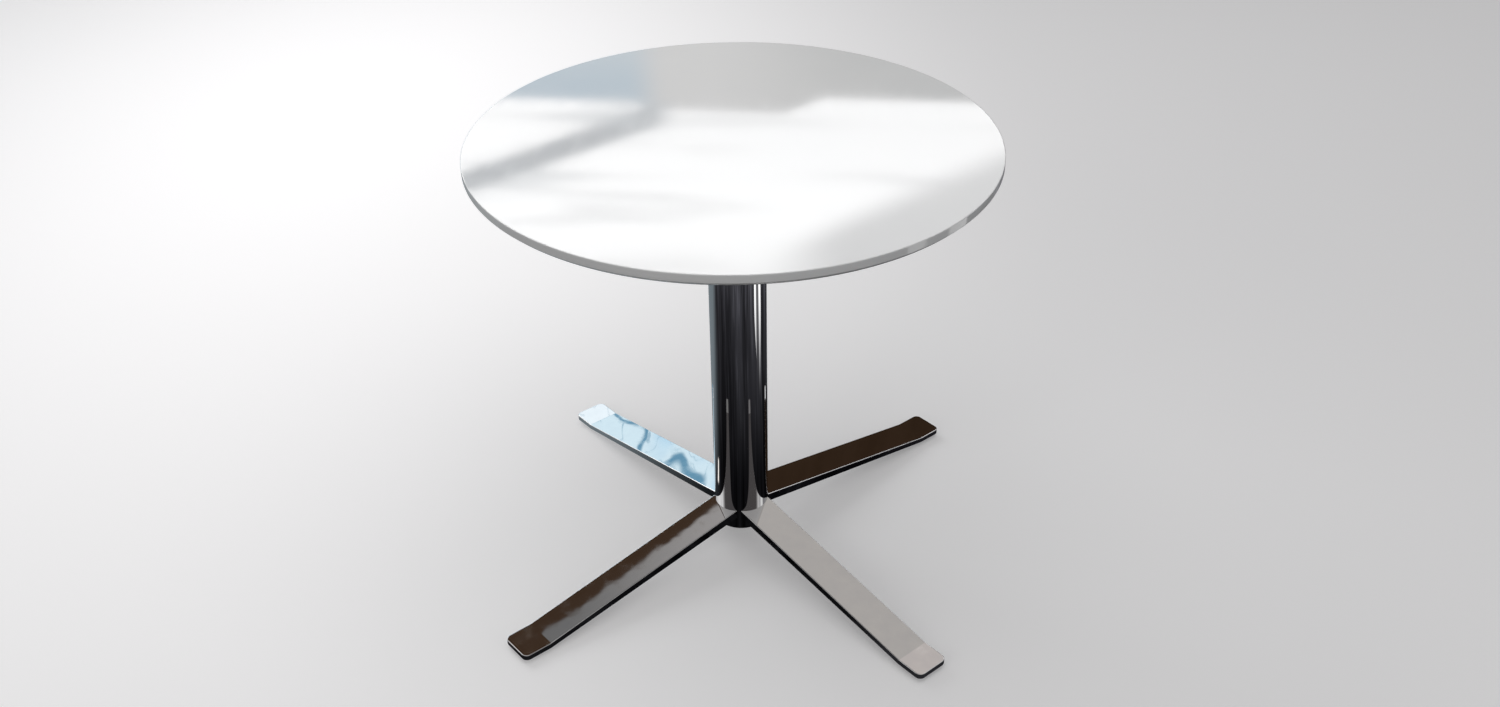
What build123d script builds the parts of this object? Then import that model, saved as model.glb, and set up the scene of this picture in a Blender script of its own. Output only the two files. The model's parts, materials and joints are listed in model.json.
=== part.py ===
from build123d import *

import os
from math import cos, radians, sin, tan

# Round bistro table: lacquered top on a polished column with four splayed flat legs.
# The origin is on the floor under the column's axis. +Z is up, the legs lie on the diagonals of X and Y,
# and -Y is the front. Lengths are in millimetres and angles in degrees.

# Overall sizes
TABLE_HEIGHT = 750.0
TOP_RADIUS = 400.0
TOP_THICKNESS = 18.0
TOP_ARRIS = 1.2
TOP_UNDERCUT = 6.0

# Column tube
COLUMN_RADIUS = 46.0
COLUMN_WALL = 2.0
COLUMN_FIT = 0.2

# Legs: each leaves the column sloping down, then bends level for its foot
LEG_ANGLES = {"back_right": 45.0, "back_left": 135.0, "front_left": 225.0, "front_right": 315.0}
LEG_WIDTH = 60.0
LEG_SLOPE = 9.6
LEG_BEND_REACH = 420.0
LEG_TIP_REACH = 468.0
LEG_TIP_THICKNESS = 10.0
LEG_ROOT_THICKNESS = 16.0
LEG_BEND_ROUND = 12.0
LEG_CORNER_ROUND = 10.0
LEG_EDGE_ROUND = 1.2
LEG_COPE_GAP = 0.1
TONGUE_WIDTH = 40.0
TONGUE_INNER_REACH = 22.0

# Levelling glides: M8 stems with a wide hexagonal flange and a swivelling foot
GLIDE_SEAT_HEIGHT = 8.0
GLIDE_REACH = 444.0
GLIDE_STEM_RADIUS = 4.0
GLIDE_STEM_ENGAGED = 8.0
GLIDE_BORE_DEPTH = 8.4
GLIDE_FOOT_RADIUS = 14.0
GLIDE_FOOT_HEIGHT = 5.0
GLIDE_FOOT_CHAMFER = 1.0
GLIDE_HEX_ACROSS = 24.0
GLIDE_HEX_HEIGHT = 2.5
GLIDE_BALL_RADIUS = 5.0
GLIDE_BALL_BASE = 1.6
GLIDE_BALL_HEIGHT = 2.0
GLIDE_NECK_RADIUS = 4.3
GLIDE_STEM_CHAMFER = 0.8
GLIDE_FOOT_RIM_HEIGHT = 2.8
GLIDE_FOOT_CROWN_RADIUS = 8.4

# Spider plate under the top, its collar and its screws
PLATE_THICKNESS = 5.0
PLATE_SPAN = 400.0
PLATE_ARM_WIDTH = 60.0
PLATE_BOSS_RADIUS = 80.0
PLATE_INNER_ROUND = 20.0
PLATE_END_ROUND = 12.0
PLATE_EDGE_CHAMFER = 0.6
COLLAR_DEPTH = 30.0
COLLAR_WALL = 5.0
COLLAR_WEB = 6.0
COLLAR_LEAD_IN = 1.5
PLATE_SCREW_REACHES = (112.0, 182.0)
PLATE_SCREW_RADIUS = 3.0
PLATE_SCREW_LENGTH = 16.0
PLATE_SCREW_HEAD_RADIUS = 6.0
PLATE_SCREW_HEAD_HEIGHT = 3.3
PLATE_SCREW_CROWN_RADIUS = 3.4
PLATE_SCREW_SHOULDER_RADIUS = 5.4
PLATE_SCREW_SHOULDER_HEIGHT = 1.8
PLATE_SCREW_HEX = 4.0
PLATE_SCREW_HEX_DEPTH = 2.3
PLATE_SCREW_HOLE_RADIUS = 3.3
INSERT_RADIUS = 5.0
INSERT_LENGTH = 12.0
INSERT_POCKET_DEPTH = 13.0

# Hub inside the column's foot, and the screws that hold the legs to it
HUB_TOP = 118.0
HUB_BLANK_BOTTOM = 80.0
HUB_TOP_CHAMFER = 1.5
HUB_SEAT_OUTER = 60.0
HUB_SEAT_INNER = 1.0
HUB_THREAD_RUNOUT = 2.0
LEG_SCREW_REACH = 31.5
LEG_SCREW_SPREAD = 10.0
LEG_SCREW_RADIUS = 4.0
LEG_SCREW_HOLE_RADIUS = 4.5
LEG_SCREW_LENGTH = 30.0
LEG_SCREW_HEAD_RADIUS = 6.5
LEG_SCREW_HEAD_HEIGHT = 8.0
LEG_SCREW_HEX = 6.0
LEG_SCREW_HEX_DEPTH = 4.0
LEG_SCREW_HEAD_CHAMFER = 0.6
LEG_SCREW_SEAT = 70.5
LEG_SCREW_SPOT_RADIUS = 7.2

# Tie rod that clamps the top plate, column and hub together
ROD_RADIUS = 6.0
ROD_BOTTOM = 93.0
ROD_TOP = 721.0
ROD_CHAMFER = 1.0
NUT_ACROSS = 19.0
NUT_HEIGHT = 10.0
WASHER_RADIUS = 18.5
WASHER_THICKNESS = 3.0
COLLAR_ROD_HOLE_RADIUS = 6.5

# Cap that closes the foot of the column
CAP_BOTTOM = 44.5
CAP_FLANGE = 2.0
CAP_PLUG_DEPTH = 10.0
CAP_WALL = 2.5
CAP_EDGE_ROUND = 1.2

# Small working gaps
THREAD_GAP = 0.05
RUNNING_GAP = 0.05
SEAT_GAP = 0.05
SLOT_SIDE_GAP = 0.2
SLOT_TOP_GAP = 0.1
SLOT_UNDER_GAP = 0.3
NUT_CORNER_CHAMFER = 0.9
TOLERANCE = 0.01

# Levels and radii that follow from the sizes above
TOP_UNDERSIDE = TABLE_HEIGHT - TOP_THICKNESS
PLATE_UNDERSIDE = TOP_UNDERSIDE - PLATE_THICKNESS
COLUMN_BORE_RADIUS = COLUMN_RADIUS - COLUMN_WALL
CORE_RADIUS = COLUMN_BORE_RADIUS - COLUMN_FIT
COLLAR_BORE_RADIUS = CORE_RADIUS - COLLAR_WALL
COLLAR_BOTTOM = PLATE_UNDERSIDE - COLLAR_DEPTH
WEB_TOP = COLLAR_BOTTOM + COLLAR_WEB
TIP_UNDERSIDE = GLIDE_SEAT_HEIGHT
TIP_TOP = TIP_UNDERSIDE + LEG_TIP_THICKNESS
CAP_FLANGE_TOP = CAP_BOTTOM + CAP_FLANGE
HALF_LEG = LEG_WIDTH / 2


def leg_top_level(reach):
    """Height of a leg's sloping top face at a distance from the column's axis."""
    return TIP_TOP + (LEG_BEND_REACH - reach) * tan(radians(LEG_SLOPE))


ROOT_TOP = leg_top_level(COLUMN_RADIUS)
UNDER_GRADIENT = (ROOT_TOP - LEG_ROOT_THICKNESS - TIP_UNDERSIDE) / (LEG_BEND_REACH - COLUMN_RADIUS)


def leg_under_level(reach):
    """Height of a leg's sloping underside; it is a little less steep, so the leg thins outwards."""
    return TIP_UNDERSIDE + (LEG_BEND_REACH - reach) * UNDER_GRADIENT


def plan_plane(angle, level=0.0):
    """Horizontal plane whose X axis points out along a leg."""
    outwards = (cos(radians(angle)), sin(radians(angle)), 0)
    return Plane(origin=(0, 0, level), x_dir=outwards, z_dir=(0, 0, 1))


def side_plane(angle):
    """Upright plane through the column's axis, with X out along a leg and Y up."""
    outwards = (cos(radians(angle)), sin(radians(angle)), 0)
    return Plane(origin=(0, 0, 0), x_dir=outwards, z_dir=(sin(radians(angle)), -cos(radians(angle)), 0))


def save(name, piece):
    """Labels one finished piece and writes it as parts/NAME.step."""
    piece.part.label = name
    export_step(piece.part, f"parts/{name}.step")


def spot_plane(angle, reach, across, level):
    """Horizontal plane centred at a place given by its distance out along a leg and across it."""
    plan = plan_plane(angle, level)
    return plan.shift_origin(plan.from_local_coords((reach, across, 0)))


def plate_screw_spots(level):
    """Planes at the eight screws that hold the mounting plate, two on each arm."""
    return [
        spot_plane(angle, reach, 0, level)
        for angle in LEG_ANGLES.values()
        for reach in PLATE_SCREW_REACHES
    ]


def leg_screw_spots(angles, level):
    """Planes at the screws that hold the legs at some angles, two to a leg."""
    return [
        spot_plane(angle, LEG_SCREW_REACH, side * LEG_SCREW_SPREAD, level)
        for angle in angles
        for side in (-1, 1)
    ]


def make_tabletop():
    """Lacquered board: a fine arris above, an undercut below, blind pockets for the inserts."""
    with BuildPart() as tabletop:
        with BuildSketch(Plane.XY.offset(TOP_UNDERSIDE)):
            Circle(TOP_RADIUS)
        extrude(amount=TOP_THICKNESS)
        fillet(tabletop.edges().filter_by(GeomType.CIRCLE).sort_by(Axis.Z)[-1], TOP_ARRIS)
        chamfer(tabletop.edges().filter_by(GeomType.CIRCLE).sort_by(Axis.Z)[0], TOP_UNDERCUT)
        for spot in plate_screw_spots(TOP_UNDERSIDE):
            with BuildSketch(spot):
                Circle(INSERT_RADIUS + THREAD_GAP)
            extrude(amount=INSERT_POCKET_DEPTH, mode=Mode.SUBTRACT)
    save("tabletop", tabletop)


def make_threaded_inserts():
    """Eight steel sleeves with an M6 bore, glued into the board's pockets."""
    with BuildPart() as inserts:
        for spot in plate_screw_spots(TOP_UNDERSIDE):
            with BuildSketch(spot):
                Circle(INSERT_RADIUS)
                Circle(PLATE_SCREW_RADIUS, mode=Mode.SUBTRACT)
            extrude(amount=INSERT_LENGTH)
    save("threaded_inserts", inserts)


def make_mounting_plate():
    """Four-armed spider plate that carries the top."""
    with BuildPart() as plate:
        with BuildSketch(Plane.XY.offset(PLATE_UNDERSIDE)) as outline:
            for angle in (LEG_ANGLES["back_right"], LEG_ANGLES["back_left"]):
                Rectangle(PLATE_SPAN, PLATE_ARM_WIDTH, rotation=angle)
            arm_ends = outline.vertices().filter_by(lambda v: v.center().length > PLATE_SPAN / 2)
            fillet(arm_ends, PLATE_END_ROUND)
            Circle(PLATE_BOSS_RADIUS)
            on_boss = outline.vertices().filter_by(
                lambda v: abs(v.center().length - PLATE_BOSS_RADIUS) < TOLERANCE
            )
            fillet(on_boss, PLATE_INNER_ROUND)
            Circle(COLLAR_BORE_RADIUS, mode=Mode.SUBTRACT)
        extrude(amount=PLATE_THICKNESS)
        for spot in plate_screw_spots(PLATE_UNDERSIDE):
            with BuildSketch(spot):
                Circle(PLATE_SCREW_HOLE_RADIUS)
            extrude(amount=PLATE_THICKNESS, mode=Mode.SUBTRACT)
        chamfer(plate.faces().sort_by(Axis.Z)[0].outer_wire().edges(), PLATE_EDGE_CHAMFER)
    save("mounting_plate", plate)


def make_plate_collar():
    """Turned cup welded under the plate: it centres the column and holds the tie rod's nut."""
    with BuildPart() as collar:
        with BuildSketch(Plane.XY.offset(COLLAR_BOTTOM)):
            Circle(CORE_RADIUS)
        extrude(amount=COLLAR_DEPTH)
        chamfer(collar.edges().filter_by(GeomType.CIRCLE).sort_by(Axis.Z)[0], COLLAR_LEAD_IN)
        with BuildSketch(Plane.XY.offset(WEB_TOP)):
            Circle(COLLAR_BORE_RADIUS)
        extrude(amount=COLLAR_DEPTH, mode=Mode.SUBTRACT)
        with BuildSketch(Plane.XY.offset(COLLAR_BOTTOM)):
            Circle(COLLAR_ROD_HOLE_RADIUS)
        extrude(amount=COLLAR_WEB, mode=Mode.SUBTRACT)
    save("plate_collar", collar)


def make_plate_screws():
    """Eight M6 button-head screws, heads under the plate, threads in the inserts."""
    with BuildPart() as screws:
        for spot in plate_screw_spots(PLATE_UNDERSIDE):
            with BuildSketch(spot.offset(-PLATE_SCREW_HEAD_HEIGHT)):
                Circle(PLATE_SCREW_CROWN_RADIUS)
            with BuildSketch(spot.offset(-PLATE_SCREW_SHOULDER_HEIGHT)):
                Circle(PLATE_SCREW_SHOULDER_RADIUS)
            with BuildSketch(spot):
                Circle(PLATE_SCREW_HEAD_RADIUS)
            loft()
            with BuildSketch(spot):
                Circle(PLATE_SCREW_RADIUS - THREAD_GAP)
            extrude(amount=PLATE_SCREW_LENGTH)
            with BuildSketch(spot.offset(-PLATE_SCREW_HEAD_HEIGHT)):
                RegularPolygon(PLATE_SCREW_HEX / 2, 6, major_radius=False)
            extrude(amount=PLATE_SCREW_HEX_DEPTH, mode=Mode.SUBTRACT)
    save("plate_screws", screws)


def make_column_tube():
    """Polished tube with four slots near its foot, each cut to the section of the tongue it takes."""
    slot_in = COLUMN_BORE_RADIUS / 2
    slot_out = COLUMN_RADIUS * 2
    slot_outline = [
        (slot_in, leg_top_level(slot_in) + SLOT_TOP_GAP),
        (slot_out, leg_top_level(slot_out) + SLOT_TOP_GAP),
        (slot_out, leg_under_level(slot_out) - SLOT_UNDER_GAP),
        (slot_in, leg_under_level(slot_in) - SLOT_UNDER_GAP),
    ]
    with BuildPart() as tube:
        with BuildSketch(Plane.XY.offset(CAP_FLANGE_TOP)):
            Circle(COLUMN_RADIUS)
            Circle(COLUMN_BORE_RADIUS, mode=Mode.SUBTRACT)
        extrude(amount=PLATE_UNDERSIDE - CAP_FLANGE_TOP)
        for angle in LEG_ANGLES.values():
            with BuildSketch(side_plane(angle)):
                with BuildLine():
                    Polyline(*slot_outline, close=True)
                make_face()
            extrude(amount=TONGUE_WIDTH / 2 + SLOT_SIDE_GAP, both=True, mode=Mode.SUBTRACT)
    save("column_tube", tube)


def make_leg(place, angle):
    """One polished leg: a tongue for the column's slot, coped shoulders, a long taper and a level tip."""
    tongue_outer = COLUMN_RADIUS + LEG_WIDTH / 4
    side_outline = [
        (0, leg_top_level(0)),
        (LEG_BEND_REACH, TIP_TOP),
        (LEG_TIP_REACH, TIP_TOP),
        (LEG_TIP_REACH, TIP_UNDERSIDE),
        (LEG_BEND_REACH, TIP_UNDERSIDE),
        (0, leg_under_level(0)),
    ]
    with BuildPart() as leg:
        with BuildSketch(plan_plane(angle)):
            with Locations((LEG_TIP_REACH / 2, 0)):
                Rectangle(LEG_TIP_REACH, LEG_WIDTH)
            Circle(COLUMN_RADIUS + LEG_COPE_GAP, mode=Mode.SUBTRACT)
            with Locations(((TONGUE_INNER_REACH + tongue_outer) / 2, 0)):
                Rectangle(tongue_outer - TONGUE_INNER_REACH, TONGUE_WIDTH)
        extrude(amount=leg_top_level(0))
        with BuildSketch(side_plane(angle)):
            with BuildLine():
                Polyline(*side_outline, close=True)
            make_face()
        extrude(amount=LEG_WIDTH, both=True, mode=Mode.INTERSECT)

        upright = leg.edges().filter_by(Axis.Z)
        fillet(upright.filter_by(lambda e: reach_of(e, angle) > LEG_BEND_REACH), LEG_CORNER_ROUND)
        across = leg.edges().filter_by(lambda e: abs(e.length - LEG_WIDTH) < TOLERANCE)
        fillet(across.filter_by(lambda e: reach_of(e, angle) < LEG_BEND_REACH + TOLERANCE), LEG_BEND_ROUND)
        lying = leg.edges().filter_by(Axis.Z, reverse=True)
        fillet(lying.filter_by(lambda e: is_on_rim(e, angle)), LEG_EDGE_ROUND)

        for spot in leg_screw_spots([angle], LEG_SCREW_SEAT):
            with BuildSketch(spot):
                Circle(LEG_SCREW_SPOT_RADIUS)
            extrude(amount=-LEG_ROOT_THICKNESS, mode=Mode.SUBTRACT)
            with BuildSketch(spot):
                Circle(LEG_SCREW_HOLE_RADIUS)
            extrude(amount=LEG_ROOT_THICKNESS * 2, mode=Mode.SUBTRACT)
        with BuildSketch(spot_plane(angle, GLIDE_REACH, 0, TIP_UNDERSIDE)):
            Circle(GLIDE_STEM_RADIUS)
        extrude(amount=GLIDE_BORE_DEPTH, mode=Mode.SUBTRACT)
    save(f"leg_{place}", leg)


def reach_of(edge, angle):
    """How far out along a leg the middle of an edge lies."""
    middle = edge @ 0.5
    return middle.X * cos(radians(angle)) + middle.Y * sin(radians(angle))


def is_on_rim(edge, angle):
    """Whether an edge runs along a leg's side or around its tip."""
    middle = edge @ 0.5
    across = middle.Y * cos(radians(angle)) - middle.X * sin(radians(angle))
    return abs(across) > HALF_LEG - TOLERANCE or reach_of(edge, angle) > LEG_TIP_REACH - LEG_CORNER_ROUND


def make_base_hub():
    """Steel block in the column's foot: four sloping seats for the legs, M8 and M12 threads."""
    with BuildPart() as hub:
        with BuildSketch(Plane.XY.offset(HUB_BLANK_BOTTOM)):
            Circle(CORE_RADIUS)
        extrude(amount=HUB_TOP - HUB_BLANK_BOTTOM)
        chamfer(hub.edges().filter_by(GeomType.CIRCLE).sort_by(Axis.Z)[-1], HUB_TOP_CHAMFER)
        for half in (HUB_SEAT_OUTER, HUB_SEAT_INNER):
            with BuildSketch(Plane.XY.offset(leg_top_level(half) + SEAT_GAP)):
                Rectangle(half * 2, half * 2, rotation=LEG_ANGLES["back_right"])
        loft(mode=Mode.SUBTRACT)
        with BuildSketch(Plane.XY.offset(HUB_BLANK_BOTTOM)):
            Circle(ROD_RADIUS)
        extrude(amount=HUB_TOP, mode=Mode.SUBTRACT)
        for spot in leg_screw_spots(LEG_ANGLES.values(), LEG_SCREW_SEAT):
            with BuildSketch(spot):
                Circle(LEG_SCREW_RADIUS)
            extrude(amount=LEG_SCREW_LENGTH + HUB_THREAD_RUNOUT, mode=Mode.SUBTRACT)
    save("base_hub", hub)


def make_leg_screws():
    """Eight M8 socket-head screws, put in from below through the legs into the hub."""
    with BuildPart() as screws:
        for spot in leg_screw_spots(LEG_ANGLES.values(), LEG_SCREW_SEAT):
            with BuildSketch(spot):
                Circle(LEG_SCREW_RADIUS - THREAD_GAP)
            extrude(amount=LEG_SCREW_LENGTH)
            with BuildSketch(spot):
                Circle(LEG_SCREW_HEAD_RADIUS)
            extrude(amount=-LEG_SCREW_HEAD_HEIGHT)
            with BuildSketch(spot.offset(-LEG_SCREW_HEAD_HEIGHT)):
                RegularPolygon(LEG_SCREW_HEX / 2, 6, major_radius=False)
            extrude(amount=LEG_SCREW_HEX_DEPTH, mode=Mode.SUBTRACT)
        bottoms = screws.edges().filter_by(GeomType.CIRCLE).group_by(Axis.Z)[0]
        chamfer(bottoms, LEG_SCREW_HEAD_CHAMFER)
    save("leg_screws", screws)


def make_tie_rod():
    """Long M12 rod from the hub up into the collar."""
    with BuildPart() as rod:
        with BuildSketch(Plane.XY.offset(ROD_BOTTOM)):
            Circle(ROD_RADIUS - THREAD_GAP)
        extrude(amount=ROD_TOP - ROD_BOTTOM)
        chamfer(rod.edges().filter_by(GeomType.CIRCLE).group_by(Axis.Z)[0], ROD_CHAMFER)
        chamfer(rod.edges().filter_by(GeomType.CIRCLE).group_by(Axis.Z)[-1], ROD_CHAMFER)
    save("tie_rod", rod)


def make_nut(name, level):
    """Hexagonal M12 nut with turned corners."""
    with BuildPart() as nut:
        with BuildSketch(Plane.XY.offset(level)):
            RegularPolygon(NUT_ACROSS / 2, 6, major_radius=False)
        extrude(amount=NUT_HEIGHT)
        with BuildSketch(Plane.XZ):
            with BuildLine():
                Polyline(*nut_section(level), close=True)
            make_face()
        revolve(axis=Axis.Z, mode=Mode.INTERSECT)
    save(name, nut)


def nut_section(level):
    """Half section of a nut's turned blank: bored, with both outer corners chamfered."""
    corner = NUT_ACROSS / 2 / cos(radians(30))
    flat = corner - NUT_CORNER_CHAMFER * 2
    top = level + NUT_HEIGHT
    return [
        (ROD_RADIUS, level),
        (flat, level),
        (corner, level + NUT_CORNER_CHAMFER),
        (corner, top - NUT_CORNER_CHAMFER),
        (flat, top),
        (ROD_RADIUS, top),
    ]


def make_rod_washer():
    """Wide washer that spreads the tie rod's pull over the collar's web."""
    with BuildPart() as washer:
        with BuildSketch(Plane.XY.offset(WEB_TOP)):
            Circle(WASHER_RADIUS)
            Circle(COLLAR_ROD_HOLE_RADIUS, mode=Mode.SUBTRACT)
        extrude(amount=WASHER_THICKNESS)
    save("tie_rod_washer", washer)


def make_bottom_cap():
    """Moulded plug with a thin flange, pushed into the foot of the column."""
    with BuildPart() as cap:
        with BuildSketch(Plane.XY.offset(CAP_BOTTOM)):
            Circle(COLUMN_RADIUS)
        extrude(amount=CAP_FLANGE)
        fillet(cap.edges().filter_by(GeomType.CIRCLE).sort_by(Axis.Z)[0], CAP_EDGE_ROUND)
        with BuildSketch(Plane.XY.offset(CAP_FLANGE_TOP)):
            Circle(CORE_RADIUS)
            Circle(CORE_RADIUS - CAP_WALL, mode=Mode.SUBTRACT)
        extrude(amount=CAP_PLUG_DEPTH)
    save("bottom_cap", cap)


def make_glide(place, angle):
    """Swivelling foot, and the M8 stem with a wide hexagonal flange that turns in it."""
    plan = plan_plane(angle)
    centre = plan.from_local_coords((GLIDE_REACH, 0, 0))
    upright = side_plane(angle).shift_origin(centre)
    axis = Axis(centre, (0, 0, 1))
    ball_top = GLIDE_BALL_BASE + GLIDE_BALL_HEIGHT
    socket_floor = GLIDE_BALL_BASE - RUNNING_GAP
    lip_bottom = ball_top + RUNNING_GAP
    hex_base = GLIDE_SEAT_HEIGHT - SEAT_GAP - GLIDE_HEX_HEIGHT
    shank = GLIDE_STEM_RADIUS - THREAD_GAP
    stem_top = TIP_UNDERSIDE + GLIDE_STEM_ENGAGED

    with BuildPart() as foot:
        with BuildSketch(upright):
            with BuildLine():
                Polyline(
                    (0, 0),
                    (GLIDE_FOOT_RADIUS - GLIDE_FOOT_CHAMFER, 0),
                    (GLIDE_FOOT_RADIUS, GLIDE_FOOT_CHAMFER),
                    (GLIDE_FOOT_RADIUS, GLIDE_FOOT_RIM_HEIGHT),
                    (GLIDE_FOOT_CROWN_RADIUS, GLIDE_FOOT_HEIGHT),
                    (GLIDE_NECK_RADIUS + RUNNING_GAP, GLIDE_FOOT_HEIGHT),
                    (GLIDE_NECK_RADIUS + RUNNING_GAP, lip_bottom),
                    (GLIDE_BALL_RADIUS + RUNNING_GAP, lip_bottom),
                    (GLIDE_BALL_RADIUS + RUNNING_GAP, socket_floor),
                    (0, socket_floor),
                    close=True,
                )
            make_face()
        revolve(axis=axis)
    save(f"glide_foot_{place}", foot)

    with BuildPart() as stem:
        with BuildSketch(upright):
            with BuildLine():
                Polyline(
                    (0, GLIDE_BALL_BASE),
                    (GLIDE_BALL_RADIUS, GLIDE_BALL_BASE),
                    (GLIDE_BALL_RADIUS, ball_top),
                    (GLIDE_NECK_RADIUS, ball_top),
                    (GLIDE_NECK_RADIUS, hex_base + RUNNING_GAP),
                    (shank, hex_base + GLIDE_HEX_HEIGHT),
                    (shank, stem_top - GLIDE_STEM_CHAMFER),
                    (shank - GLIDE_STEM_CHAMFER, stem_top),
                    (0, stem_top),
                    close=True,
                )
            make_face()
        revolve(axis=axis)
        with BuildSketch(plan.shift_origin(centre).offset(hex_base)):
            RegularPolygon(GLIDE_HEX_ACROSS / 2, 6, major_radius=False)
        extrude(amount=GLIDE_HEX_HEIGHT)
    save(f"glide_stem_{place}", stem)


os.makedirs("parts", exist_ok=True)
make_tabletop()
make_threaded_inserts()
make_mounting_plate()
make_plate_collar()
make_plate_screws()
make_column_tube()
make_base_hub()
make_leg_screws()
make_tie_rod()
make_rod_washer()
make_nut("tie_rod_nut", WEB_TOP + WASHER_THICKNESS)
make_nut("tie_rod_lock_nut", HUB_TOP)
make_bottom_cap()
for leg_place, leg_angle in LEG_ANGLES.items():
    make_leg(leg_place, leg_angle)
    make_glide(leg_place, leg_angle)
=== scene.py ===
"""Looks for the round bistro table: white lacquered top, dark polished column, four polished flat legs.

Every length is in metres, in the table's own frame: origin on the floor under the column, +Z up, front -Y.
"""

import json
from math import cos, pi, radians, sin

import bmesh
import bpy
from mathutils import Matrix, Vector


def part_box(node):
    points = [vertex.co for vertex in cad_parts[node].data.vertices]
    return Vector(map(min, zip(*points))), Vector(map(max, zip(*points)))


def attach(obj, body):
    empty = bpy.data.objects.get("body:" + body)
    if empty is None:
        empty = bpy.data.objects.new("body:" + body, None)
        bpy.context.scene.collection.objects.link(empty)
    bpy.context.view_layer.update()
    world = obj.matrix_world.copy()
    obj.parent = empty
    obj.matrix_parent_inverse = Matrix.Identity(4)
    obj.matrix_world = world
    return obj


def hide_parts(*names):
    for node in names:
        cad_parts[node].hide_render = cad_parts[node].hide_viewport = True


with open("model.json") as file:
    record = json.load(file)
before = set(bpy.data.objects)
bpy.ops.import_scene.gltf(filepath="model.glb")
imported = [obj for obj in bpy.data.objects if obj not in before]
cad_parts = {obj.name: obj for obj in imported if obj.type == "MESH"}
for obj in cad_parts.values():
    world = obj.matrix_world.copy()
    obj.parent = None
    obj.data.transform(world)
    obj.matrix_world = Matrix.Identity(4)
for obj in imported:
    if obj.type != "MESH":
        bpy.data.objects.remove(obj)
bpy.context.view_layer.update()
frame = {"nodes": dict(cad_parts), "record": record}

# Camera
CAMERA_AZIMUTH = 3.1
CAMERA_ELEVATION = 33.8
CAMERA_ROLL = 0.46
CAMERA_DISTANCE = 2.409
CAMERA_AIM_ASIDE = 0.099
CAMERA_AIM_HEIGHT = 0.331
CAMERA_LENS = 35.2
CAMERA_SHIFT_X = -0.033
CAMERA_SHIFT_Y = 0.015

# Studio
FLOOR_SIZE = 400.0
MIRROR_FLOOR_LEVEL = -0.001
LAMP_AIM = (0.0, 0.0, 0.4)

# The room that only reflections see: a wall behind the table, with the heights of what is on it
WALL_DISTANCE = 2.0
WALL_HALF_WIDTH = 2.4
WALL_HEIGHT = 4.0
WINDOW_TOP = (1.30, 1.34)
BAND_FOOT = 1.557
BAND_FOOT_BLUR = (-0.012, 0.014)
BAR_SLOPE = -0.40
BAR_HEIGHT = 1.425
BAR_HALF_WIDTH = (0.050, 0.022)
BAR_FRINGE = (0.16, 0.03)
CORNER_SLOPE = -0.52
CORNER_HEIGHT = 2.00
CORNER_BLUR = 0.06
CEILING_FOOT = (2.17, 2.20)
BEAM_SLOPE = -0.713
BEAM_HEIGHT = 1.945


# ---------------------------------------------------------------- node helpers

class Shader:
    """A small wrapper that adds nodes to one node tree and links them as they are made."""

    def __init__(self, tree):
        self.tree = tree
        tree.nodes.clear()

    def add(self, kind, settings=None, **inputs):
        """A new node; settings are its properties, inputs are values or sockets for its inputs."""
        node = self.tree.nodes.new(kind)
        for name, value in (settings or {}).items():
            setattr(node, name, value)
        for name, value in inputs.items():
            self.put(node.inputs[name.replace("_", " ")], value)
        return node

    def put(self, socket, value):
        if isinstance(value, bpy.types.NodeSocket):
            self.tree.links.new(value, socket)
        else:
            socket.default_value = value

    def math(self, operation, a, b=0.0, c=0.0):
        node = self.add("ShaderNodeMath", {"operation": operation})
        for socket, value in zip(node.inputs, (a, b, c)):
            self.put(socket, value)
        return node.outputs[0]

    def length(self, a, b):
        return self.math("SQRT", self.math("ADD", self.math("MULTIPLY", a, a), self.math("MULTIPLY", b, b)))

    def ramp(self, value, low, high, start=0.0, end=1.0):
        """Smooth step from start to end as value goes from low to high."""
        node = self.add("ShaderNodeMapRange", {"interpolation_type": "SMOOTHSTEP"})
        for socket, item in zip(node.inputs, (value, low, high, start, end)):
            self.put(socket, item)
        return node.outputs[0]

    def blend(self, factor, a, b):
        """Colour a where factor is 0 and b where it is 1."""
        node = self.add("ShaderNodeMix", {"data_type": "RGBA"})
        for name, value in (("Factor_Float", factor), ("A_Color", a), ("B_Color", b)):
            socket = next(s for s in node.inputs if s.identifier == name)
            self.put(socket, value)
        return next(s for s in node.outputs if s.identifier == "Result_Color")

    def noise(self, vector, scale, detail=3.0, roughness=0.5, distortion=0.0):
        node = self.add("ShaderNodeTexNoise", Vector=vector, Scale=scale, Detail=detail,
                        Roughness=roughness, Distortion=distortion)
        return node.outputs["Fac"]

    def stretched(self, vector, scale):
        return self.add("ShaderNodeMapping", Vector=vector, Scale=scale).outputs[0]

    def bump(self, height, strength, distance):
        node = self.add("ShaderNodeBump", Height=height, Strength=strength, Distance=distance)
        return node.outputs[0]

    def place(self):
        return self.add("ShaderNodeTexCoord").outputs["Object"]


def grey(value):
    return (value, value, value, 1.0)


def rgb(red, green, blue):
    return (red, green, blue, 1.0)


def new_material(name):
    material = bpy.data.materials.new(name)
    material.use_nodes = True
    return material, Shader(material.node_tree)


def close_material(shader, surface):
    shader.add("ShaderNodeOutputMaterial", Surface=surface)


# ------------------------------------------------------------------- materials

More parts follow.
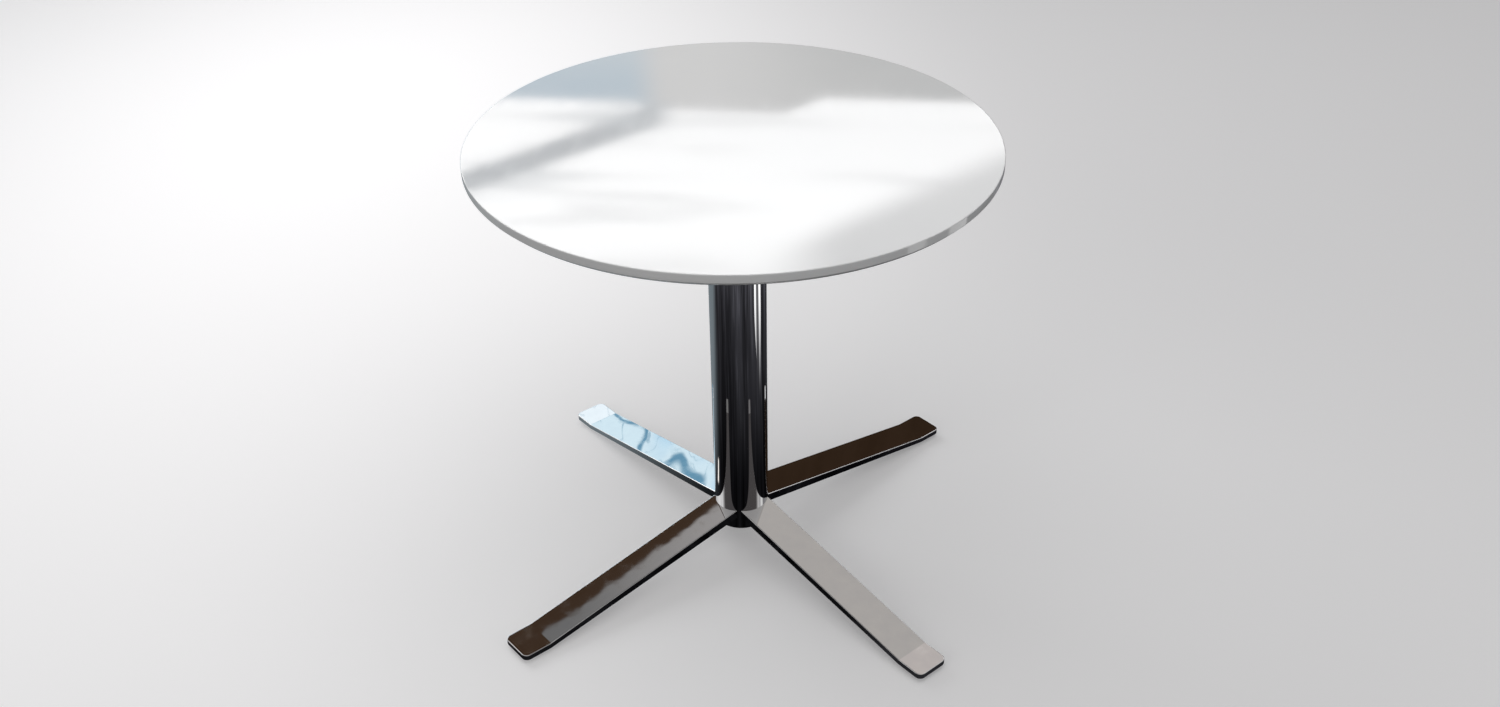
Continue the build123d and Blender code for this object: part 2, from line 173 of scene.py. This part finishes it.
def lacquer_material():
    """White satin-gloss lacquer: faint orange peel, slight cloudiness and fine wipe marks."""
    material, s = new_material("white_lacquer")
    place = s.place()
    cloud = s.noise(place, 6.0, 4.0)
    peel = s.noise(place, 900.0, 2.0)
    wipe = s.noise(s.stretched(place, (60.0, 4.0, 4.0)), 3.0, 5.0)
    colour = s.blend(cloud, rgb(0.80, 0.805, 0.81), rgb(0.84, 0.84, 0.835))
    roughness = s.math("ADD", s.ramp(wipe, 0.35, 0.75, 0.035, 0.065), s.ramp(cloud, 0.3, 0.7, 0.0, 0.012))
    shader = s.add("ShaderNodeBsdfPrincipled", Base_Color=colour, Roughness=roughness,
                   Normal=s.bump(peel, 0.02, 0.0002))
    close_material(s, shader.outputs[0])
    return material


def chrome_material():
    """Polished dark chrome: gentle waviness from polishing, faint smears, a slightly warm tint."""
    material, s = new_material("polished_chrome")
    place = s.place()
    wave = s.noise(place, 14.0, 2.0, 0.4)
    smear = s.noise(s.stretched(place, (1.0, 1.0, 0.15)), 40.0, 4.0)
    colour = s.blend(smear, rgb(0.52, 0.52, 0.535), rgb(0.60, 0.595, 0.59))
    roughness = s.ramp(smear, 0.45, 0.8, 0.02, 0.07)
    shader = s.add("ShaderNodeBsdfPrincipled", Base_Color=colour, Metallic=1.0, Roughness=roughness,
                   Normal=s.bump(wave, 0.05, 0.002))
    close_material(s, shader.outputs[0])
    return material


def coated_steel_material():
    """Black powder coat: fine pebbled texture with tiny tone changes."""
    material, s = new_material("black_steel")
    place = s.place()
    pebble = s.noise(place, 1400.0, 3.0)
    cloud = s.noise(place, 20.0, 3.0)
    colour = s.blend(cloud, grey(0.018), grey(0.034))
    shader = s.add("ShaderNodeBsdfPrincipled", Base_Color=colour,
                   Roughness=s.ramp(pebble, 0.3, 0.7, 0.42, 0.6), Normal=s.bump(pebble, 0.35, 0.0003))
    close_material(s, shader.outputs[0])
    return material


def plain_steel_material():
    """Turned and oiled steel: fine rings about the vertical with darker oily patches."""
    material, s = new_material("plain_steel")
    place = s.place()
    grain = s.noise(s.stretched(place, (30.0, 30.0, 900.0)), 2.0, 3.0)
    oil = s.noise(place, 60.0, 4.0)
    colour = s.blend(oil, rgb(0.30, 0.29, 0.28), rgb(0.50, 0.50, 0.50))
    shader = s.add("ShaderNodeBsdfPrincipled", Base_Color=colour, Metallic=1.0,
                   Roughness=s.ramp(grain, 0.3, 0.7, 0.28, 0.45), Normal=s.bump(grain, 0.2, 0.0002))
    close_material(s, shader.outputs[0])
    return material


def zinc_material():
    """Bright zinc plate: cool, faintly mottled, with a fine grain."""
    material, s = new_material("zinc_steel")
    place = s.place()
    mottle = s.noise(place, 350.0, 4.0)
    grain = s.noise(place, 2600.0, 2.0)
    colour = s.blend(mottle, rgb(0.56, 0.57, 0.60), rgb(0.72, 0.71, 0.66))
    shader = s.add("ShaderNodeBsdfPrincipled", Base_Color=colour, Metallic=1.0,
                   Roughness=s.ramp(mottle, 0.3, 0.7, 0.22, 0.38), Normal=s.bump(grain, 0.1, 0.0002))
    close_material(s, shader.outputs[0])
    return material


def moulded_plastic_material():
    """Black moulded plastic with a fine spark-eroded grain and rubbed lighter patches."""
    material, s = new_material("black_plastic")
    place = s.place()
    grain = s.noise(place, 2200.0, 3.0)
    rub = s.noise(place, 90.0, 4.0)
    colour = s.blend(s.ramp(rub, 0.45, 0.75), grey(0.016), grey(0.045))
    shader = s.add("ShaderNodeBsdfPrincipled", Base_Color=colour, Roughness=s.ramp(rub, 0.4, 0.7, 0.45, 0.6),
                   Normal=s.bump(grain, 0.3, 0.0002))
    close_material(s, shader.outputs[0])
    return material


MATERIALS = {
    "white_lacquer": lacquer_material(),
    "polished_chrome": chrome_material(),
    "black_steel": coated_steel_material(),
    "plain_steel": plain_steel_material(),
    "zinc_steel": zinc_material(),
    "black_plastic": moulded_plastic_material(),
}


FACE_AREA_WEIGHT = 100


def dress_cad_nodes():
    """Gives every CAD node the material of its slot.

    On polished pieces the large faces set the shading, so that slender edge rounds do not tilt what
    those faces mirror.
    """
    for part in frame["record"]["subparts"]:
        node = frame["nodes"][part["node"]]
        node.data.materials.clear()
        node.data.materials.append(MATERIALS[part["material_slot"]])
        if part["material_slot"] == "polished_chrome":
            steady = node.modifiers.new("steady_shading", "WEIGHTED_NORMAL")
            steady.weight = FACE_AREA_WEIGHT
            steady.keep_sharp = True


# -------------------------------------------------------------------- geometry

TOP_SEGMENTS = 384
ROUND_STEPS = 6
TOP_ARRIS = 0.0012
TOP_UNDERCUT = 0.006
UNDERCUT_EASE = 0.0008
FLAT_RING = 0.0004
SHARP_ANGLE = 28.0


def arc(centre, radius, start, end, steps):
    """Points on a circular arc, as (distance from the axis, height), angles in degrees."""
    points = []
    for i in range(steps + 1):
        turn = radians(start + (end - start) * i / steps)
        points.append((centre[0] + radius * cos(turn), centre[1] + radius * sin(turn)))
    return points


def lathe(name, profile, segments):
    """A closed piece turned about Z: profile lists (radius, height), and its ends are at radius 0."""
    mesh = bmesh.new()
    rings = []
    for radius, height in profile:
        if radius == 0.0:
            rings.append([mesh.verts.new((0.0, 0.0, height))])
            continue
        turns = [2 * pi * i / segments for i in range(segments)]
        rings.append([mesh.verts.new((radius * cos(turn), radius * sin(turn), height)) for turn in turns])
    for low, high in zip(rings, rings[1:]):
        for i in range(segments):
            j = (i + 1) % segments
            corners = [low[i % len(low)], low[j % len(low)], high[j % len(high)], high[i % len(high)]]
            distinct = list(dict.fromkeys(corners))
            if len(distinct) > 2:
                mesh.faces.new(distinct)
    bmesh.ops.recalc_face_normals(mesh, faces=mesh.faces)
    return add_piece(name, mesh)


def add_piece(name, mesh):
    """Turns a bmesh into an object of the scene."""
    data = bpy.data.meshes.new(name)
    mesh.to_mesh(data)
    mesh.free()
    piece = bpy.data.objects.new(name, data)
    bpy.context.scene.collection.objects.link(piece)
    return piece


def smooth(piece):
    """Smooth shading that stays crisp across edges sharper than SHARP_ANGLE degrees."""
    for face in piece.data.polygons:
        face.use_smooth = True
    piece.data.set_sharp_from_angle(angle=radians(SHARP_ANGLE))


def stand_for(piece, node):
    """The piece takes the CAD node's place, body and material."""
    part = next(p for p in frame["record"]["subparts"] if p["node"] == node)
    body = next(b for b, nodes in frame["record"]["behaviour"]["bodies"].items() if node in nodes)
    piece.data.materials.append(MATERIALS[part["material_slot"]])
    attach(piece, body)
    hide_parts(node)


def build_top():
    """White board: eased upper arris, upright edge, 45 degree undercut with softly eased corners.

    A narrow flat ring beside each eased edge keeps the shading of the large flat faces level.
    """
    low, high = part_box("tabletop")
    radius = high.x
    edge_foot = low.z + TOP_UNDERCUT
    under_radius = radius - TOP_UNDERCUT
    ease = UNDERCUT_EASE
    upright, slant = 0.4 * ease, 0.7 * ease
    profile = [(0.0, low.z), (under_radius - ease - FLAT_RING, low.z), (under_radius - ease, low.z)]
    profile += [(under_radius, low.z + upright), (radius - slant, edge_foot - slant)]
    profile += [(radius, edge_foot + upright)]
    profile += arc((radius - TOP_ARRIS, high.z - TOP_ARRIS), TOP_ARRIS, 0, 90, ROUND_STEPS)
    profile += [(radius - TOP_ARRIS - FLAT_RING, high.z), (0.0, high.z)]
    board = lathe("tabletop_board", profile, TOP_SEGMENTS)
    smooth(board)
    stand_for(board, "tabletop")


build_top()


# ---------------------------------------------------------------------- studio

def add_sheet(name, corners, material):
    """A flat four-cornered sheet that belongs to the studio."""
    mesh = bpy.data.meshes.new(name)
    mesh.from_pydata([Vector(c) for c in corners], [], [(0, 1, 2, 3)])
    sheet = bpy.data.objects.new(name, mesh)
    sheet.data.materials.append(material)
    bpy.context.scene.collection.objects.link(sheet)
    return sheet


def only_in_reflections(sheet):
    sheet.visible_camera = False
    sheet.visible_diffuse = False
    sheet.visible_shadow = False
    sheet.visible_transmission = False


def floor_material():
    """Plain pale floor with painted light: a pool of light behind and to the left, and a glow that grows
    towards the left and the back. Rays other than the camera's see a dark grey instead, so the floor throws
    little light back up and paints shade onto the underside of the top.
    """
    material, s = new_material("studio_floor")
    axes = s.add("ShaderNodeSeparateXYZ", Vector=s.add("ShaderNodeNewGeometry").outputs["Position"])
    across = axes.outputs["X"]
    deep = axes.outputs["Y"]
    # painted light: a pool of light on the floor, centred behind and to the left of the table
    pool_x, pool_y, pool_depth_scale, pool_radius = -1.15, 1.6, 0.62, 1.9
    aside = s.math("SUBTRACT", across, pool_x)
    beyond = s.math("MULTIPLY", s.math("SUBTRACT", deep, pool_y), pool_depth_scale)
    painted_light_pool = s.ramp(s.length(aside, beyond), 0.0, pool_radius, 0.27, 0.0)
    # painted light: the floor glows more towards the left and towards the back
    painted_glow = s.math("ADD", painted_light_pool, s.ramp(across, -2.2, 1.3, 0.27, 0.19))
    painted_glow = s.math("ADD", painted_glow, s.ramp(deep, -0.3, 2.8, 0.02, 0.09))
    pale = s.add("ShaderNodeBsdfDiffuse", Color=rgb(0.72, 0.715, 0.715))
    painted_glow_emission = s.add("ShaderNodeEmission", Color=rgb(1.0, 0.99, 0.995), Strength=painted_glow)
    seen = s.add("ShaderNodeAddShader")
    s.put(seen.inputs[0], pale.outputs[0])
    s.put(seen.inputs[1], painted_glow_emission.outputs[0])
    # rays other than the camera's see this dark grey floor: painted shade for the underside of the top
    painted_shade_bounce = s.add("ShaderNodeBsdfDiffuse", Color=grey(0.25))
    ray = s.add("ShaderNodeLightPath")
    mix = s.add("ShaderNodeMixShader", Fac=ray.outputs["Is Camera Ray"])
    s.put(mix.inputs[1], painted_shade_bounce.outputs[0])
    s.put(mix.inputs[2], seen.outputs[0])
    close_material(s, mix.outputs[0])
    return material


def reflected_floor_material():
    """The darker floor that the polished metal mirrors.

    Streaks of tone fan out from the column. It is bluish behind and to the left, with a lit wedge to the
    right that starts away from the column, split by a dark line, and a small glint to the left.
    """
    material, s = new_material("reflected_floor")
    place = s.add("ShaderNodeNewGeometry").outputs["Position"]
    axes = s.add("ShaderNodeSeparateXYZ", Vector=place)
    x, y = axes.outputs["X"], axes.outputs["Y"]
    turn = s.math("ARCTAN2", y, x)
    heading = s.math("DEGREES", turn)
    away = s.length(x, y)
    fan = s.add("ShaderNodeCombineXYZ", X=s.math("COSINE", turn), Y=s.math("SINE", turn),
                Z=s.math("MULTIPLY", away, 0.35))
    broad = s.noise(fan.outputs[0], 3.2, 3.0)
    fine = s.noise(fan.outputs[0], 11.0, 3.0)
    level = s.math("ADD", s.ramp(away, 0.20, 0.70, 0.006, 0.040), s.ramp(away, 0.65, 1.20, 0.0, 0.065))
    streaks = s.math("MULTIPLY", s.ramp(broad, 0.36, 0.64, 0.45, 1.5), s.ramp(fine, 0.50, 0.68, 0.85, 1.6))
    tone = s.math("MULTIPLY", level, streaks)
    blue = s.math("MULTIPLY", tone, 1.16)
    colour = s.add("ShaderNodeCombineColor", Red=tone, Green=tone, Blue=blue).outputs[0]
    behind = s.math("MULTIPLY", s.ramp(y, -0.05, 0.30), s.ramp(x, 0.0, -0.35))
    colour = s.blend(s.math("MULTIPLY", behind, 0.9), colour, rgb(0.26, 0.31, 0.34))
    spread = s.ramp(away, 0.42, 0.85)
    low_side = s.math("MULTIPLY_ADD", spread, -17.0, -1.0)
    high_side = s.math("MULTIPLY_ADD", spread, 7.5, 8.0)
    past_low_side = s.math("GREATER_THAN", heading, low_side)
    short_of_high_side = s.math("LESS_THAN", heading, high_side)
    wedge = s.math("MULTIPLY", past_low_side, short_of_high_side)
    wedge = s.math("MULTIPLY", wedge, s.ramp(away, 0.46, 0.95))
    split = s.math("MULTIPLY", s.ramp(heading, -10.0, -8.0), s.ramp(heading, 5.0, 3.0))
    lit = s.math("MULTIPLY", wedge, s.math("MULTIPLY_ADD", split, -0.92, 1.0))
    colour = s.blend(lit, colour, rgb(1.9, 1.9, 1.9))
    glint = s.math("MULTIPLY", s.ramp(s.math("ABSOLUTE", s.math("ADD", x, 0.23)), 0.045, 0.03),
                   s.ramp(s.math("ABSOLUTE", s.math("SUBTRACT", y, 0.035)), 0.016, 0.010))
    colour = s.blend(glint, colour, rgb(1.7, 1.6, 1.5))
    close_material(s, s.add("ShaderNodeEmission", Color=colour, Strength=1.0).outputs[0])
    return material


def reflected_wall_material():
    """The room behind the table, which the top and the legs mirror.

    From the floor up: a window with bare boughs beside dark brown panelling; a bright band crossed by a
    sloping dark bar, dimmer at its foot and in its upper right corner; then a pale ceiling that ends in
    a brown beam and a hazier part to the left.
    """
    material, s = new_material("reflected_wall")
    place = s.add("ShaderNodeNewGeometry").outputs["Position"]
    axes = s.add("ShaderNodeSeparateXYZ", Vector=place)
    x, z = axes.outputs["X"], axes.outputs["Z"]
    boughs = s.noise(s.stretched(place, (1.0, 1.0, 0.6)), 4.6, 2.0, 0.5, 0.6)
    shoots = s.noise(s.stretched(place, (1.5, 1.0, 1.0)), 8.0, 2.0, 0.5, 0.8)
    bough_lines = s.ramp(s.math("ABSOLUTE", s.math("SUBTRACT", boughs, 0.5)), 0.022, 0.006)
    shoot_lines = s.ramp(s.math("ABSOLUTE", s.math("SUBTRACT", shoots, 0.54)), 0.014, 0.003, 0.0, 0.6)
    sky = s.ramp(boughs, 0.52, 0.64)
    window = s.blend(sky, rgb(1.10, 1.38, 1.52), rgb(0.72, 1.12, 1.42))
    window = s.blend(s.ramp(z, 0.98, 1.15, 0.0, 0.7), window, rgb(1.60, 1.72, 1.80))
    window = s.blend(s.math("MAXIMUM", bough_lines, shoot_lines), window, rgb(0.22, 0.50, 0.72))
    panel_grain = s.noise(s.stretched(place, (9.0, 1.0, 1.0)), 2.0, 3.0)
    panel = s.blend(panel_grain, rgb(0.030, 0.016, 0.008), rgb(0.060, 0.036, 0.022))
    low = s.blend(s.ramp(x, -0.25, -0.15), window, panel)

    soft = s.noise(s.stretched(place, (0.30, 1.0, 5.5)), 3.0, 2.0)
    brightest = s.blend(s.ramp(z, 1.55, 2.0), grey(3.8), grey(5.2))
    bright = s.blend(s.ramp(soft, 0.54, 0.68, 0.0, 0.6), brightest, grey(2.5))
    left_foot = s.blend(s.ramp(z, 1.38, 1.52), rgb(0.55, 0.85, 1.05), rgb(0.10, 0.55, 0.90))
    foot = s.blend(s.ramp(x, -0.52, -0.40), left_foot, rgb(1.00, 0.97, 0.93))
    foot = s.blend(s.ramp(x, -0.30, 0.20), foot, rgb(0.40, 0.40, 0.37))
    step = s.math("ADD", s.ramp(x, -0.52, -0.44, 0.0, 0.022), s.ramp(x, -0.08, 0.08, 0.0, -0.050))
    from_foot = s.math("SUBTRACT", s.math("SUBTRACT", z, BAND_FOOT), step)
    middle = s.blend(s.ramp(from_foot, *BAND_FOOT_BLUR), foot, bright)
    bar_height = s.math("MULTIPLY_ADD", x, BAR_SLOPE, BAR_HEIGHT)
    from_bar = s.math("ABSOLUTE", s.math("SUBTRACT", z, bar_height))
    bar = s.math("MULTIPLY", s.ramp(from_bar, *BAR_HALF_WIDTH), s.ramp(x, -0.36, -0.48))
    middle = s.blend(bar, middle, rgb(0.0, 0.10, 0.20))
    fringe = s.math("MULTIPLY", s.ramp(from_bar, *BAR_FRINGE), s.ramp(soft, 0.48, 0.60))
    fringe = s.math("MULTIPLY", fringe, s.ramp(x, -0.34, -0.55, 0.0, 0.6))
    middle = s.blend(fringe, middle, rgb(0.9, 1.05, 1.15))
    from_corner = s.math("SUBTRACT", z, s.math("MULTIPLY_ADD", x, CORNER_SLOPE, CORNER_HEIGHT))
    corner = s.math("MULTIPLY", s.ramp(from_corner, -CORNER_BLUR, CORNER_BLUR), s.ramp(x, -0.20, 0.15))
    middle = s.blend(corner, middle, grey(1.75))

    beam_height = s.math("MULTIPLY_ADD", x, BEAM_SLOPE, BEAM_HEIGHT)
    above = s.math("ADD", s.math("SUBTRACT", z, beam_height), s.math("MULTIPLY", soft, 0.05))
    hazy = s.blend(s.ramp(x, -1.9, -0.8), grey(0.24), rgb(0.52, 0.50, 0.49))
    left_top = s.blend(s.ramp(above, 0.0, 0.025), rgb(0.075, 0.045, 0.028), hazy)
    right_top = s.blend(s.ramp(z, 2.45, 2.6), rgb(0.80, 0.74, 0.71), rgb(0.67, 0.64, 0.61))
    ceiling = s.blend(s.ramp(x, -0.70, -0.45), left_top, right_top)

    colour = s.blend(s.ramp(z, *WINDOW_TOP), low, middle)
    colour = s.blend(s.ramp(z, *CEILING_FOOT), colour, ceiling)
    close_material(s, s.add("ShaderNodeEmission", Color=colour, Strength=1.0).outputs[0])
    return material


def floor_corners(level):
    half = FLOOR_SIZE / 2
    return [(-half, -half, level), (half, -half, level), (half, half, level), (-half, half, level)]


def build_studio():
    """The floor that the camera sees, the floor and wall that only reflections see, and four lamps."""
    floor = add_sheet("studio_floor", floor_corners(0.0), floor_material())
    floor.visible_glossy = False
    mirror_floor = add_sheet("reflected_floor", floor_corners(MIRROR_FLOOR_LEVEL), reflected_floor_material())
    only_in_reflections(mirror_floor)
    side, away, top = WALL_HALF_WIDTH, WALL_DISTANCE, WALL_HEIGHT
    wall_corners = [(-side, away, 0.0), (side, away, 0.0), (side, away, top), (-side, away, top)]
    wall = add_sheet("reflected_wall", wall_corners, reflected_wall_material())
    only_in_reflections(wall)
    add_area("key_light", (-2.6, 2.2, 3.0), 3.0, 46.0, (0.97, 0.985, 1.0))
    add_area("top_light", (0.3, -0.4, 3.6), 3.0, 30.0, (1.0, 1.0, 1.0))
    add_area("side_light", (3.0, -2.4, 1.9), 2.2, 15.0, (1.0, 1.0, 1.0))
    add_area("fill_light", (-2.2, -3.0, 1.9), 2.2, 24.0, (1.0, 0.99, 0.97))


def add_area(name, place, size, power, colour):
    """A soft square lamp aimed at the middle of the table, kept out of reflections."""
    light = bpy.data.lights.new(name, "AREA")
    light.size = size
    light.energy = power
    light.color = colour
    lamp = bpy.data.objects.new(name, light)
    lamp.location = place
    lamp.rotation_euler = (Vector(place) - Vector(LAMP_AIM)).to_track_quat("Z", "Y").to_euler()
    lamp.visible_glossy = False
    bpy.context.scene.collection.objects.link(lamp)


def build_world():
    """Soft even light all round; polished pieces see banded sides, a dark front and a pale ceiling."""
    world = bpy.data.worlds.new("studio_world")
    world.use_nodes = True
    bpy.context.scene.world = world
    s = Shader(world.node_tree)
    direction = s.add("ShaderNodeTexCoord").outputs["Generated"]
    axes = s.add("ShaderNodeSeparateXYZ", Vector=direction)
    up = axes.outputs["Z"]
    bands = s.ramp(s.noise(s.stretched(direction, (1.0, 1.0, 0.25)), 2.4, 1.0), 0.44, 0.54)
    sides = s.blend(bands, rgb(0.42, 0.42, 0.44), rgb(1.90, 1.90, 1.88))
    sides = s.blend(s.ramp(axes.outputs["Y"], -0.10, -0.40), sides, rgb(0.16, 0.15, 0.15))
    sides = s.blend(s.ramp(up, 0.0, 0.10), rgb(0.10, 0.10, 0.11), sides)
    room = s.blend(s.ramp(up, 0.45, 0.70), sides, rgb(0.75, 0.74, 0.73))
    ray = s.add("ShaderNodeLightPath")
    colour = s.blend(ray.outputs["Is Glossy Ray"], rgb(0.20, 0.20, 0.205), room)
    colour = s.blend(ray.outputs["Is Camera Ray"], colour, grey(0.36))
    background = s.add("ShaderNodeBackground", Color=colour, Strength=1.0)
    s.add("ShaderNodeOutputWorld", Surface=background.outputs[0])


def build_camera():
    """Camera at the working view: it looks down at the table from the front, a little from the right."""
    azimuth, elevation = radians(CAMERA_AZIMUTH), radians(CAMERA_ELEVATION)
    back = Vector((sin(azimuth) * cos(elevation), -cos(azimuth) * cos(elevation), sin(elevation)))
    right = Vector((cos(azimuth), sin(azimuth), 0.0))
    aim = right * CAMERA_AIM_ASIDE + Vector((0.0, 0.0, CAMERA_AIM_HEIGHT))
    data = bpy.data.cameras.new("camera")
    data.lens = CAMERA_LENS
    data.shift_x = CAMERA_SHIFT_X
    data.shift_y = CAMERA_SHIFT_Y
    camera = bpy.data.objects.new("camera", data)
    turn = Matrix((right, back.cross(right), back)).transposed().to_4x4()
    camera.matrix_world = Matrix.Translation(aim + back * CAMERA_DISTANCE) @ turn @ Matrix.Rotation(
        radians(CAMERA_ROLL), 4, "Z")
    bpy.context.scene.collection.objects.link(camera)
    bpy.context.scene.camera = camera


dress_cad_nodes()
build_studio()
build_world()
build_camera()
bpy.context.scene.view_settings.view_transform = "Standard"
